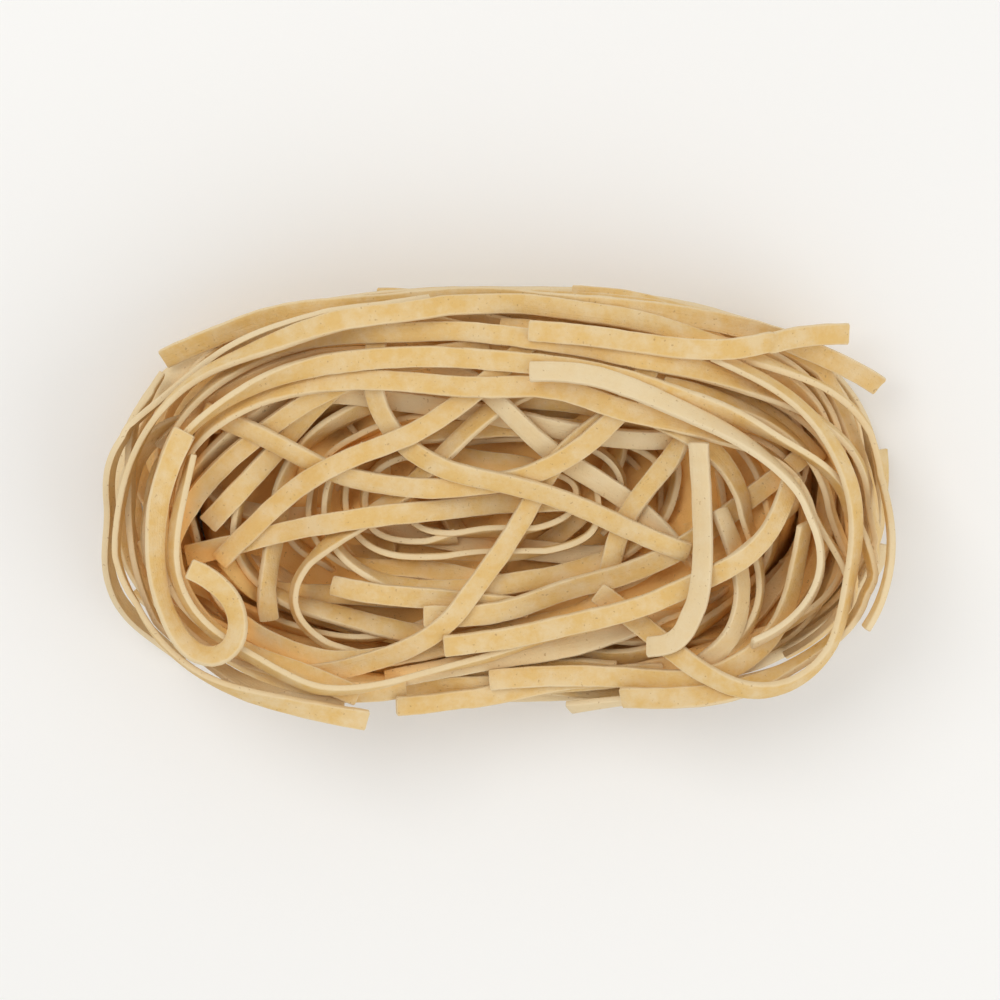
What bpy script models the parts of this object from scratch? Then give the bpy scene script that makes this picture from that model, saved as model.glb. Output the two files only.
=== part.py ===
# Dry pasta nest: one portion of flat egg-coloured ribbons, wound into an oval and dried.
# The noodles are laid one by one, each resting on those below it. The ones that show
# are then fused with a core that stands for the noodles hidden inside.
import math

import bmesh
import bpy
import numpy as np

# Driving dimensions, in millimetres
NEST_LENGTH = 148.0
NEST_WIDTH = 77.0
NOODLE_WIDTH = 3.8
NOODLE_THICKNESS = 1.15

# How the nest is wound. Lanes run from 0 in the middle to 1 on the outline
SQUARENESS = 2.5
LOWER_NOODLES = 50
CROSSING_SHARE = 0.36
INNER_SHARE = 0.22
RIM_LANES = (0.62, 0.93)
INNER_LANES = (0.2, 0.5)
CROSSING_LANES = (0.75, 0.92)
MIDDLE_LANES = (0.0, 0.45)
LANE_LIMITS = (0.2, 0.975)
LANE_DRIFT = 0.2
LANE_WAVES = 0.035
RIM_CREEP = 0.08
TURNS = (0.75, 1.3)
FORWARD_SHARE = 0.75
FLARES = (-0.12, 0.10)
FLARE_SHARE = 0.12
SEED = 5

# How a noodle leans, in degrees: more where it bends tightly
LEANS = (0, 30)
LEAN_OF_BEND = (0.8, 1.5)
MOST_BEND_LEAN = 60
LEAN_WAVES = 14
MOST_LEAN = 80

# How it settles on the pile. The levels are the highest wanted at each lane
CHOICES = 8
LEVEL_LANES = (0.0, 0.3, 0.5, 0.72, 0.9, 1.0, 1.2)
LEVELS = (20.0, 20.0, 22.0, 26.0, 23.0, 13.0, 3.0)
PEAK_COST = 0.2
DRAPE_RADIUS = 10.0
DRAPE_SLACK = 2.5
SETTLING = 3.2
SHOWN_SETTLING = 0.8
SHOWN_WAVES = 0.7
SHOWN_LEAN_WAVES = 9
WAVE_LENGTH = 10
TURNED_UP = (0.3, 0.8)
SLIDE_STEP = 0.8
SLIDE_COST = 0.06
SLIDE_BLUR = 9
MOST_LANE = 0.95
FLOOR_GAP = 0.3

# The height map that the noodles are laid on
STEP = 1.0
CELL = 0.5
MARGIN = 20.0

# The solid
FUSED_NOODLES = 27
OUTSIDE_LANE = 0.93
OUTSIDE_WEIGHT = 3.0
SEGMENT = 6.9
CORE_SIDES = 40
CORE_RINGS = 8
CORE_REACH = 0.95
CORE_FOOT = 0.88
CORE_ROUNDING = 0.75
CORE_WAIST = 0.5
CORE_SINK = 0.2
CORE_BLUR = 3.0
CORE_LEAST = 4.0
TINY_EDGE = 0.01

MM = 0.001
PASTA_COLOUR = (0.60, 0.38, 0.155, 1.0)
PASTA_ROUGHNESS = 0.72

# Noodles that show on top, in the order they were laid. A loop follows the rim: its turns
# run anticlockwise from the right-hand end, and its lanes (1 on the outline) are evenly
# spaced along it. A span crosses the nest through a few places in millimetres.
# Tilts are degrees: for a loop on the long sides and on the round ends,
# for a span from end to end.
SHOWN_NOODLES = (
    {"span": ((-31, -16), (-20, -17), (-10, -18), (5, -21)), "tilt": (0, 5, 0)},
    {"span": ((-14, -21), (0, -20), (12, -16), (23, -13), (41, -5), (55, 11)), "tilt": (5, 8, 0)},
    {"span": ((-58, -8), (-45, -5), (-31, -4), (-13, -1), (12, 0)), "tilt": (0, -10, 0)},
    {"span": ((-52, -5), (-47, 3), (-41, 10), (-31, 22), (-17, 29)), "tilt": (0, 12, 10)},
    {"span": ((-63, -11), (-59, -1), (-51, 8), (-41, 15), (-24, 26), (-2, 29)), "tilt": (30, 10, 10)},
    {"loop": (-0.15, 0.18), "lanes": (0.87, 0.70, 0.57, 0.53, 0.53), "tilt": (20, 78)},
    {"span": ((37, -29), (42, -25), (45, -18), (45, -10), (41, 0)), "tilt": (20, 50, 30)},
    {"span": ((-47, -30), (-36, -31), (-20, -28), (-10, -22), (-6, -17), (-2, -12), (5, -1), (12, 11), (27, 22)),
     "tilt": (5, 12, 10)},
    {"span": ((-54, 17), (-43, 12), (-30, 5), (-15, 1), (0, 3), (13, 9), (23, 18), (29, 28)), "tilt": (20, 5, 15)},
    {"span": ((-22, 31), (-24, 21), (-19, 11), (-8, 5), (6, 3), (20, -2), (34, -9)), "tilt": (10, 20, 10)},
    {"span": ((8, 31), (-2, 22), (-14, 14), (-27, 9), (-40, 1), (-52, -10)), "tilt": (10, 5, 15)},
    {"loop": (-0.13, 0.16), "lanes": (0.99, 0.92, 0.80, 0.69, 0.66), "tilt": (35, 80)},
    {"loop": (-0.16, 0.69), "lanes": (1.02, 0.97, 0.75, 0.57, 0.51, 0.58, 0.68, 0.76, 0.81, 0.84, 0.92),
     "tilt": (8, 80)},
    {"loop": (-0.04, 0.72), "lanes": (0.97, 0.86, 0.74, 0.72, 0.80, 0.85, 0.85, 0.86, 0.88, 0.94, 0.90),
     "tilt": (6, 76)},
    {"loop": (0.40, 0.07), "lanes": (1.01, 0.98, 0.95, 0.93, 0.93, 0.97, 1.03), "tilt": (0, 8)},
    {"loop": (0.70, 0.41), "lanes": (0.99, 0.96, 0.89, 0.88, 0.97), "tilt": (25, 82)},
    {"loop": (0.63, 0.27), "lanes": (1.10, 1.03, 0.98, 0.94, 0.92, 0.93, 0.97), "tilt": (40, 80)},
    {"span": ((-19, -38), (-7, -37), (0, -36), (12, -33), (30, -31)), "tilt": (0, 10, 0)},
    {"span": ((13, -39), (23, -37), (37, -36), (52, -33), (61, -27)), "tilt": (60, 60, 60)},
    {"span": ((-2, -32), (23, -32), (37, -31), (50, -25), (55, -16), (55, -3)), "tilt": (0, 5, 50)},
    {"loop": (0.70, -0.21), "lanes": (0.88, 0.86, 0.83, 0.77, 0.74, 0.68, 0.61, 0.69, 0.91, 1.04, 0.92),
     "tilt": (4, 80)},
    {"loop": (-0.08, 0.71), "lanes": (1.00, 0.97, 0.88, 0.82, 0.92, 0.93, 0.90, 0.91, 0.94, 1.00, 1.02),
     "tilt": (10, 82)},
    {"span": ((18, -16), (27, -22), (35, -29), (43, -32), (52, -32), (59, -27), (63, -18), (65, -6), (64, 4),
              (60, 13), (52, 21), (38, 27)), "tilt": (0, 65, 75)},
    {"span": ((-57, 10), (-60, 1), (-60, -8), (-56, -18), (-46, -28), (-31, -34), (-17, -32), (-2, -29), (12, -24),
              (27, -19), (41, -12), (55, -1)), "tilt": (70, 70, 60)},
    {"span": ((-10, -27), (0, -24), (10, -22), (23, -18), (37, -13), (48, -5), (52, 6)), "tilt": (5, 10, 20)},
    {"span": ((-57, -8), (-53, -11), (-47, -17), (-48, -25), (-55, -26), (-59, -18), (-60, -7), (-60, 4), (-56, 14)),
     "tilt": (60, 78, 70)},
    {"loop": (-0.13, 0.24), "lanes": (0.84, 0.82, 0.75, 0.66, 0.61, 0.61, 0.66), "tilt": (30, 80)},
    {"span": ((36, 12), (37, 2), (37, -13), (36, -19), (33, -26), (27, -27)), "tilt": (10, 40, 20)},
    {"span": ((64, 30), (55, 30), (41, 27), (23, 29), (5, 31)), "tilt": (0, 10, 0)},
)


def place(turn, lane):
    """Point of the nest at a turn round it and a lane out from the middle."""
    angle = 2 * math.pi * np.asarray(turn, float)
    power = 2 / SQUARENESS
    across = np.cos(angle)
    along = np.sin(angle)
    x = NEST_LENGTH / 2 * lane * np.sign(across) * np.abs(across) ** power
    y = NEST_WIDTH / 2 * lane * np.sign(along) * np.abs(along) ** power
    return np.stack([x, y], axis=-1)


def lane_of(path):
    """Lane of each point of a path, the inverse of place."""
    x = np.abs(path[:, 0]) / (NEST_LENGTH / 2)
    y = np.abs(path[:, 1]) / (NEST_WIDTH / 2)
    return (x ** SQUARENESS + y ** SQUARENESS) ** (1 / SQUARENESS)


def spline(knots, per_span=12):
    """Uniform cubic B-spline that starts and ends at its end knots."""
    knots = np.asarray(knots, float)
    if knots.ndim == 1:
        knots = knots[:, None]
    knots = np.vstack([2 * knots[0] - knots[1], knots, 2 * knots[-1] - knots[-2]])
    t = np.linspace(0, 1, per_span, endpoint=False)[:, None]
    blend = (
        (1 - t) ** 3 / 6,
        (3 * t ** 3 - 6 * t ** 2 + 4) / 6,
        (1 + 3 * t + 3 * t ** 2 - 3 * t ** 3) / 6,
        t ** 3 / 6,
    )
    spans = []
    for first in range(len(knots) - 3):
        spans.append(sum(blend[k] * knots[first + k] for k in range(4)))
    spans.append(knots[-2:-1])
    return np.vstack(spans)


def evenly(points, step):
    """The same line with its points a step apart."""
    run = np.r_[0, np.cumsum(np.linalg.norm(np.diff(points, axis=0), axis=1))]
    count = max(8, int(round(run[-1] / step)))
    stations = np.linspace(0, run[-1], count + 1)
    return np.column_stack([np.interp(stations, run, column) for column in points.T])


def smooth(values, reach):
    """Gaussian smoothing that keeps the slope at both ends."""
    half = min(int(3 * reach) + 1, len(values) - 1)
    kernel = np.exp(-0.5 * (np.arange(-half, half + 1) / reach) ** 2)
    kernel /= kernel.sum()
    before = 2 * values[0] - values[1:half + 1][::-1]
    after = 2 * values[-1] - values[-half - 1:-1][::-1]
    return np.convolve(np.r_[before, values, after], kernel, "valid")


def side_directions(path):
    """Unit vectors to the left of a path."""
    ahead = np.gradient(path, axis=0)
    ahead /= np.linalg.norm(ahead, axis=1)[:, None]
    return np.column_stack([-ahead[:, 1], ahead[:, 0]])


def bending(path):
    """Curvature of a path, smoothed."""
    first = np.gradient(path, axis=0)
    second = np.gradient(first, axis=0)
    speed = np.linalg.norm(first, axis=1)
    return smooth((first[:, 0] * second[:, 1] - first[:, 1] * second[:, 0]) / speed ** 3, 6)


def faces_at(roll, offset):
    """Lower and upper face of a tilted noodle, from its centre line, at a sideways offset."""
    across = np.maximum(np.abs(np.cos(roll)), 1e-3)
    up = np.sin(roll)
    up = np.where(np.abs(up) < 1e-3, 1e-3, up)
    half_width = NOODLE_WIDTH / 2
    half_thickness = NOODLE_THICKNESS / 2
    edge_a = (-half_width - offset * across) / up
    edge_b = (half_width - offset * across) / up
    low = np.maximum((-half_thickness + offset * up) / across, np.minimum(edge_a, edge_b))
    high = np.minimum((half_thickness + offset * up) / across, np.maximum(edge_a, edge_b))
    return low, high


class Pile:
    """Height map of the noodles laid so far, and which noodle is on top in each cell."""

    def __init__(self):
        self.columns = int((NEST_LENGTH + 2 * MARGIN) / CELL)
        self.rows = int((NEST_WIDTH + 2 * MARGIN) / CELL)
        self.level = np.full((self.rows, self.columns), FLOOR_GAP)
        self.owner = np.full((self.rows, self.columns), -1)
        self.count = 0

    def cells(self, x, y):
        column = ((x + NEST_LENGTH / 2 + MARGIN) / CELL).astype(int)
        row = ((y + NEST_WIDTH / 2 + MARGIN) / CELL).astype(int)
        return np.clip(row, 0, self.rows - 1), np.clip(column, 0, self.columns - 1)

    def widened(self):
        """Levels grown by one cell each way, so that edges don't cut into each other."""
        tall = self.level
        for axis in (0, 1):
            tall = np.maximum(tall, np.maximum(np.roll(tall, 1, axis), np.roll(tall, -1, axis)))
        return tall

    def footprint(self, path, side, roll, samples):
        half = (np.abs(np.cos(roll)) * NOODLE_WIDTH + np.abs(np.sin(roll)) * NOODLE_THICKNESS) / 2
        offset = half[:, None] * np.linspace(-1, 1, samples)[None, :]
        low, high = faces_at(roll[:, None], offset * 0.98)
        x = path[:, 0][:, None] + side[:, 0][:, None] * offset
        y = path[:, 1][:, None] + side[:, 1][:, None] * offset
        row, column = self.cells(x, y)
        return row, column, low, high

    def contact(self, path, side, roll, tall):
        """Lowest centre height at each point where the noodle clears what lies below."""
        row, column, low, _ = self.footprint(path, side, roll, 9)
        return (tall[row, column] - low).max(1)

    def settle(self, path, roll, tall, reach):
        """Lets a noodle slide sideways into lower places, but not out of the nest."""
        most = np.maximum(lane_of(path), MOST_LANE)
        shifts = np.arange(-reach, reach + SLIDE_STEP / 8, SLIDE_STEP)
        for _ in range(3):
            side = side_directions(path)
            levels = [smooth(self.contact(path + side * shift, side, roll, tall), 4) for shift in shifts]
            cost = np.array(levels) + SLIDE_COST * shifts[:, None] ** 2
            weight = np.exp(-(cost - cost.min(0)) / SLIDE_STEP)
            move = (weight * shifts[:, None]).sum(0) / weight.sum(0)
            path = path + side * smooth(move, SLIDE_BLUR)[:, None] * SLIDE_STEP
            path = path * np.minimum(1, most / lane_of(path))[:, None]
        return path

    def drape(self, path, roll, reach):
        """Centre line of a noodle resting on the pile, stiff enough to bridge the gaps."""
        tall = self.widened()
        path = self.settle(path, roll, tall, reach)
        run = np.arange(len(path)) * STEP
        touch = self.contact(path, side_directions(path), roll, tall)
        fall = (run[:, None] - run[None, :]) ** 2 / (2 * DRAPE_RADIUS)
        height = (touch[None, :] - fall).max(1)
        for _ in range(3):
            height = smooth(height, DRAPE_SLACK)
            short = np.maximum(touch - height, 0)
            lift = short.copy()
            for shift in range(1, int(DRAPE_SLACK) + 1):
                lift[shift:] = np.maximum(lift[shift:], short[:-shift])
                lift[:-shift] = np.maximum(lift[:-shift], short[shift:])
            height = height + smooth(lift, DRAPE_SLACK * 0.6)
        return np.column_stack([path, height])

    def add(self, line, roll):
        """Raises the map to the top of a noodle."""
        side = side_directions(line[:, :2])
        for part in (0, 0.5):
            middle = line[:-1] * (1 - part) + line[1:] * part
            row, column, _, high = self.footprint(middle[:, :2], side[:-1], roll[:-1], 13)
            top = middle[:, 2][:, None] + high
            order = np.argsort(top, axis=None)
            row, column, top = row.ravel()[order], column.ravel()[order], top.ravel()[order]
            higher = top > self.level[row, column]
            self.level[row[higher], column[higher]] = top[higher]
            self.owner[row[higher], column[higher]] = self.count
        self.count += 1

    def level_near(self, point, reach):
        """Mean level within a distance of a point."""
        steps = np.arange(-reach, reach + CELL, CELL)
        dx, dy = np.meshgrid(steps, steps)
        inside = dx ** 2 + dy ** 2 <= reach ** 2
        row, column = self.cells(point[0] + dx[inside], point[1] + dy[inside])
        return self.level[row, column].mean()


def waves(rng, count, size, knots=8):
    """Smooth random waves of a given size."""
    wave = spline(rng.normal(0, size, knots), 30)[:, 0]
    return np.interp(np.linspace(0, 1, count), np.linspace(0, 1, len(wave)), wave)


def wound_path(rng, lanes):
    """A noodle that runs about once round the nest, its ends flaring in or out."""
    turns = rng.uniform(*TURNS)
    start = rng.uniform(0, 1)
    way = 1 if rng.random() < FORWARD_SHARE else -1
    base = rng.uniform(*lanes)
    drift = rng.uniform(-LANE_DRIFT, LANE_DRIFT)
    along = np.linspace(0, 1, 120)
    lane = base + drift * (along - 0.5) + waves(rng, len(along), LANE_WAVES)
    flares = rng.uniform(*FLARES, 2)
    lane += flares[0] * np.maximum(0, 1 - along / FLARE_SHARE) ** 2
    lane += flares[1] * np.maximum(0, 1 - (1 - along) / FLARE_SHARE) ** 2
    return place(start + way * along * turns, np.clip(lane, *LANE_LIMITS))


def rim_path(rng, share):
    return wound_path(rng, (RIM_LANES[0], RIM_LANES[1] - RIM_CREEP * share))


def inner_path(rng, share):
    return wound_path(rng, INNER_LANES)


def crossing_path(rng, share):
    """A noodle that comes in from the rim, crosses the middle and joins the other side.

    Its places are given in turns from its start and, on the far side, from where it arrives.
    """
    start = rng.uniform(0, 1)
    over = start + 0.5 + rng.uniform(-0.12, 0.12)
    return spline([
        place(start - 0.16, rng.uniform(*CROSSING_LANES)),
        place(start - 0.06, rng.uniform(*CROSSING_LANES)),
        place(start + 0.04, 0.72),
        place(start + 0.2, rng.uniform(*MIDDLE_LANES)),
        place(over - 0.06, 0.7),
        place(over + 0.04, 0.82),
        place(over + 0.14, rng.uniform(*CROSSING_LANES)),
    ])


def kind_of_path(rng):
    draw = rng.random()
    if draw < CROSSING_SHARE:
        return crossing_path
    if draw < CROSSING_SHARE + INNER_SHARE:
        return inner_path
    return rim_path


def natural_roll(rng, path):
    """Tilt of a noodle along its way: on edge where it bends tightly."""
    bend = np.clip(np.abs(bending(path)) * 1000, 0, MOST_BEND_LEAN)
    lean = rng.uniform(*LEANS) + bend * rng.uniform(*LEAN_OF_BEND) + waves(rng, len(path), LEAN_WAVES)
    side = 1 if rng.random() < 0.5 else -1
    return np.radians(np.clip(side * lean, -MOST_LEAN, MOST_LEAN))


def shown_noodle(rng, noodle):
    """Path and roll of one of the noodles listed above."""
    if "loop" in noodle:
        turns = np.linspace(*noodle["loop"], len(noodle["lanes"]))
        table = spline(np.column_stack([turns, noodle["lanes"]]))
        path = evenly(place(table[:, 0], table[:, 1]), STEP)
        end = np.abs(path[:, 0]) / (NEST_LENGTH / 2)
        share = np.clip((end - TURNED_UP[0]) / (TURNED_UP[1] - TURNED_UP[0]), 0, 1)
        flat, tilted = noodle["tilt"]
        roll = flat + (tilted - flat) * share ** 2 * (3 - 2 * share)
    else:
        path = evenly(spline(noodle["span"]), STEP)
        roll = np.interp(np.linspace(0, 1, len(path)), (0, 0.5, 1), noodle["tilt"])
    knots = max(4, len(path) // WAVE_LENGTH)
    path = path + side_directions(path) * waves(rng, len(path), SHOWN_WAVES, knots)[:, None]
    roll = roll + waves(rng, len(path), SHOWN_LEAN_WAVES, knots)
    return path, np.radians(roll)


def lay_nest():
    """Lays all the noodles, from the floor up."""
    rng = np.random.default_rng(SEED)
    pile = Pile()
    noodles = []
    for number in range(LOWER_NOODLES):
        share = number / LOWER_NOODLES
        kind = kind_of_path(rng)
        choices = []
        for _ in range(CHOICES):
            path = evenly(kind(rng, share), STEP)
            roll = natural_roll(rng, path)
            line = pile.drape(path, roll, SETTLING)
            height = line[:, 2]
            over = np.maximum(height - np.interp(lane_of(line), LEVEL_LANES, LEVELS), 0)
            choices.append((height.mean() + over.mean() + PEAK_COST * height.max(), line, roll))
        _, line, roll = min(choices, key=lambda choice: choice[0])
        pile.add(line, roll)
        noodles.append((line, roll))
    for noodle in SHOWN_NOODLES:
        path, roll = shown_noodle(rng, noodle)
        line = pile.drape(path, roll, SHOWN_SETTLING)
        pile.add(line, roll)
        noodles.append((line, roll))
    return noodles, pile


def noodles_that_show(noodles, pile):
    """The noodles with most of their length on top, then those that reach furthest out."""
    on_top = np.bincount(pile.owner[pile.owner >= 0], minlength=pile.count) * CELL ** 2
    outside = np.array([(lane_of(line) > OUTSIDE_LANE).sum() for line, _ in noodles]) * STEP
    order = np.argsort(-(on_top + OUTSIDE_WEIGHT * outside), kind="stable")
    return [noodles[number] for number in order[:FUSED_NOODLES]]


def pasta_material():
    material = bpy.data.materials.new("dry pasta")
    material.use_nodes = True
    shader = material.node_tree.nodes["Principled BSDF"]
    shader.inputs["Base Color"].default_value = PASTA_COLOUR
    shader.inputs["Roughness"].default_value = PASTA_ROUGHNESS
    shader.inputs["Metallic"].default_value = 0.0
    material.diffuse_color = PASTA_COLOUR
    return material


def noodle_profile(collection):
    """The cross-section that all noodles share."""
    outline = bpy.data.curves.new("noodle section", "CURVE")
    outline.dimensions = "2D"
    loop = outline.splines.new("POLY")
    loop.points.add(3)
    half_width = NOODLE_WIDTH / 2 * MM
    half_thickness = NOODLE_THICKNESS / 2 * MM
    for point, (right, up) in zip(loop.points, ((-1, -1), (1, -1), (1, 1), (-1, 1))):
        point.co = (right * half_width, up * half_thickness, 0, 1)
    loop.use_cyclic_u = True
    profile = bpy.data.objects.new("noodle section", outline)
    profile.hide_render = True
    profile.display_type = "WIRE"
    collection.objects.link(profile)
    return profile


def noodle_solid(name, line, roll, profile, collection):
    """One noodle: the section swept along its line and tilted by its roll, made a mesh."""
    coarse = evenly(np.column_stack([line, roll]), SEGMENT)
    curve = bpy.data.curves.new(name, "CURVE")
    curve.dimensions = "3D"
    curve.twist_mode = "Z_UP"
    curve.bevel_mode = "OBJECT"
    curve.bevel_object = profile
    curve.use_fill_caps = True
    route = curve.splines.new("POLY")
    route.points.add(len(coarse) - 1)
    for point, (x, y, z, tilt) in zip(route.points, coarse):
        point.co = (x * MM, y * MM, z * MM, 1)
        point.tilt = tilt
    guide = bpy.data.objects.new(name, curve)
    collection.objects.link(guide)
    graph = bpy.context.evaluated_depsgraph_get()
    mesh = bpy.data.meshes.new_from_object(guide.evaluated_get(graph))
    solid = bpy.data.objects.new(name, mesh)
    solid.matrix_world = guide.matrix_world
    bpy.data.objects.remove(guide, do_unlink=True)
    bm = bmesh.new()
    bm.from_mesh(mesh)
    bmesh.ops.remove_doubles(bm, verts=bm.verts, dist=0.001 * MM)
    bmesh.ops.recalc_face_normals(bm, faces=bm.faces)
    bm.to_mesh(mesh)
    bm.free()
    collection.objects.link(solid)
    return solid


def core_solid(name, pile):
    """The hidden noodles as one body: a sphere pressed to the pile, with a flat foot."""
    mesh = bpy.data.meshes.new(name)
    bm = bmesh.new()
    bmesh.ops.create_uvsphere(bm, u_segments=CORE_SIDES, v_segments=2 * CORE_RINGS, radius=1)
    one_ring = 1 / CORE_RINGS
    below = []
    for vert in bm.verts:
        turn = math.atan2(vert.co.y, vert.co.x) / (2 * math.pi)
        rise = math.asin(max(-1, min(1, vert.co.z))) / (math.pi / 2)
        if rise < -1.5 * one_ring:
            below.append(vert)
            continue
        if rise < -0.5 * one_ring:
            x, y = place(turn, CORE_FOOT)
            level = 0
        else:
            x, y = place(turn, CORE_REACH * (1 - rise) ** CORE_ROUNDING)
            level = max(pile.level_near((x, y), CORE_BLUR) - CORE_SINK, CORE_LEAST)
            if rise < 0.5 * one_ring:
                level *= CORE_WAIST
        vert.co = (x * MM, y * MM, level * MM)
    bmesh.ops.delete(bm, geom=below, context="VERTS")
    bmesh.ops.holes_fill(bm, edges=[edge for edge in bm.edges if edge.is_boundary])
    bmesh.ops.recalc_face_normals(bm, faces=bm.faces)
    bm.to_mesh(mesh)
    bm.free()
    return bpy.data.objects.new(name, mesh)


def fuse(core, pieces):
    """One union of the core with all the noodles, applied."""
    union = core.modifiers.new("fuse", "BOOLEAN")
    union.operation = "UNION"
    union.operand_type = "COLLECTION"
    union.collection = pieces
    # The exact solver leaves open edges on this many crossing noodles
    union.solver = "MANIFOLD"
    graph = bpy.context.evaluated_depsgraph_get()
    fused = bpy.data.meshes.new_from_object(core.evaluated_get(graph))
    core.modifiers.remove(union)
    core.data = fused
    for piece in list(pieces.objects):
        bpy.data.objects.remove(piece, do_unlink=True)
    bpy.data.collections.remove(pieces)


def bodies_of(bm):
    """The separate bodies of a mesh, largest first."""
    waiting = set(bm.verts)
    bodies = []
    while waiting:
        body = set()
        front = [waiting.pop()]
        while front:
            vert = front.pop()
            body.add(vert)
            for edge in vert.link_edges:
                other = edge.other_vert(vert)
                if other in waiting:
                    waiting.remove(other)
                    front.append(other)
        bodies.append(body)
    return sorted(bodies, key=len, reverse=True)


def closes_cleanly(edge):
    """Whether an edge can shrink to a point without pinching the surface."""
    start, end = edge.verts
    around_start = {other.other_vert(start) for other in start.link_edges}
    around_end = {other.other_vert(end) for other in end.link_edges}
    return len(around_start & around_end) == 2


def drop_folds(bm):
    """Removes pairs of faces that lie back to back on the same three corners."""
    by_corners = {}
    for face in bm.faces:
        by_corners.setdefault(frozenset(face.verts), []).append(face)
    folds = [face for faces in by_corners.values() if len(faces) == 2 for face in faces]
    bmesh.ops.delete(bm, geom=folds, context="FACES")


def turn_shared_diagonals(bm):
    """Splits a pair of faces the other way where another pair has the same diagonal."""
    for edge in [edge for edge in bm.edges if len(edge.link_faces) > 2]:
        first = edge.link_faces[0]
        twin = max(edge.link_faces[1:], key=lambda face: face.normal.dot(first.normal))
        loop = next(loop for loop in first.loops if loop.edge == edge)
        start, end, left = loop.vert, loop.link_loop_next.vert, loop.link_loop_prev.vert
        right = next(vert for vert in twin.verts if vert not in edge.verts)
        bmesh.ops.delete(bm, geom=[first, twin], context="FACES_ONLY")
        for corners in ((left, start, right), (right, end, left)):
            fold = bm.faces.get(corners)
            if fold:  # the new face would lie back to back with it, so both go
                bmesh.ops.delete(bm, geom=[fold], context="FACES_ONLY")
            else:
                bm.faces.new(corners)
    loose = [edge for edge in bm.edges if not edge.link_faces]
    bmesh.ops.delete(bm, geom=loose, context="EDGES")


def close_tiny_edges(bm):
    """Shrinks the edges that are too short to matter, shortest first."""
    kept = set()
    while True:
        tiny = [edge for edge in bm.edges if edge.calc_length() < TINY_EDGE * MM and edge not in kept]
        if not tiny:
            return
        edge = min(tiny, key=lambda item: item.calc_length())
        kept.add(edge)
        if closes_cleanly(edge):
            middle = (edge.verts[0].co + edge.verts[1].co) / 2
            bmesh.ops.pointmerge(bm, verts=list(edge.verts), merge_co=middle)


def tidy(mesh):
    """Keeps the largest body, without scraps and sealed hollows, and closes tiny edges."""
    bm = bmesh.new()
    bm.from_mesh(mesh)
    for body in bodies_of(bm)[1:]:
        bmesh.ops.delete(bm, geom=list(body), context="VERTS")
    bmesh.ops.triangulate(bm, faces=bm.faces)
    drop_folds(bm)
    turn_shared_diagonals(bm)
    close_tiny_edges(bm)
    drop_folds(bm)
    bm.to_mesh(mesh)
    bm.free()


def build_nest():
    for item in list(bpy.data.objects):
        bpy.data.objects.remove(item, do_unlink=True)
    scene = bpy.context.scene
    nest_parts = bpy.data.collections.new("dry pasta nest")
    pieces = bpy.data.collections.new("noodles to fuse")
    scene.collection.children.link(nest_parts)
    scene.collection.children.link(pieces)
    noodles, pile = lay_nest()
    nest = core_solid("pasta_nest", pile)
    nest_parts.objects.link(nest)
    profile = noodle_profile(nest_parts)
    for number, (line, roll) in enumerate(noodles_that_show(noodles, pile)):
        noodle_solid(f"noodle {number}", line, roll, profile, pieces)
    bpy.data.objects.remove(profile, do_unlink=True)
    fuse(nest, pieces)
    tidy(nest.data)
    nest.data.materials.clear()
    nest.data.materials.append(pasta_material())


build_nest()
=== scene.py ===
import math

import bpy
import numpy as np
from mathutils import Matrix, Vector


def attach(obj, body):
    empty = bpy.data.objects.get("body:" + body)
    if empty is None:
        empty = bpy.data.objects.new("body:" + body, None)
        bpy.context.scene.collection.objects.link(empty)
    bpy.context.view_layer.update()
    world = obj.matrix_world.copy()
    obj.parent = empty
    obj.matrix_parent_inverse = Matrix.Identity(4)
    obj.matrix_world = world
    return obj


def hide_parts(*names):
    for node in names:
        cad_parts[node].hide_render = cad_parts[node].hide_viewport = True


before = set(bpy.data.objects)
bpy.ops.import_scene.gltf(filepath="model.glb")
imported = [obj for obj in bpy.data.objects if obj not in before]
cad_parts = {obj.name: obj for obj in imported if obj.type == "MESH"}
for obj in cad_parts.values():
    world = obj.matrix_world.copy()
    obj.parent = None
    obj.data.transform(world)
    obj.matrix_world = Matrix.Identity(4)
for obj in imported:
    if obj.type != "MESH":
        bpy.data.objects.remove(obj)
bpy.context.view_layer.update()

mm = 0.001


# Where each noodle lies, in millimetres and degrees. Lanes run from 0 in the middle to 1 on the outline

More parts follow.
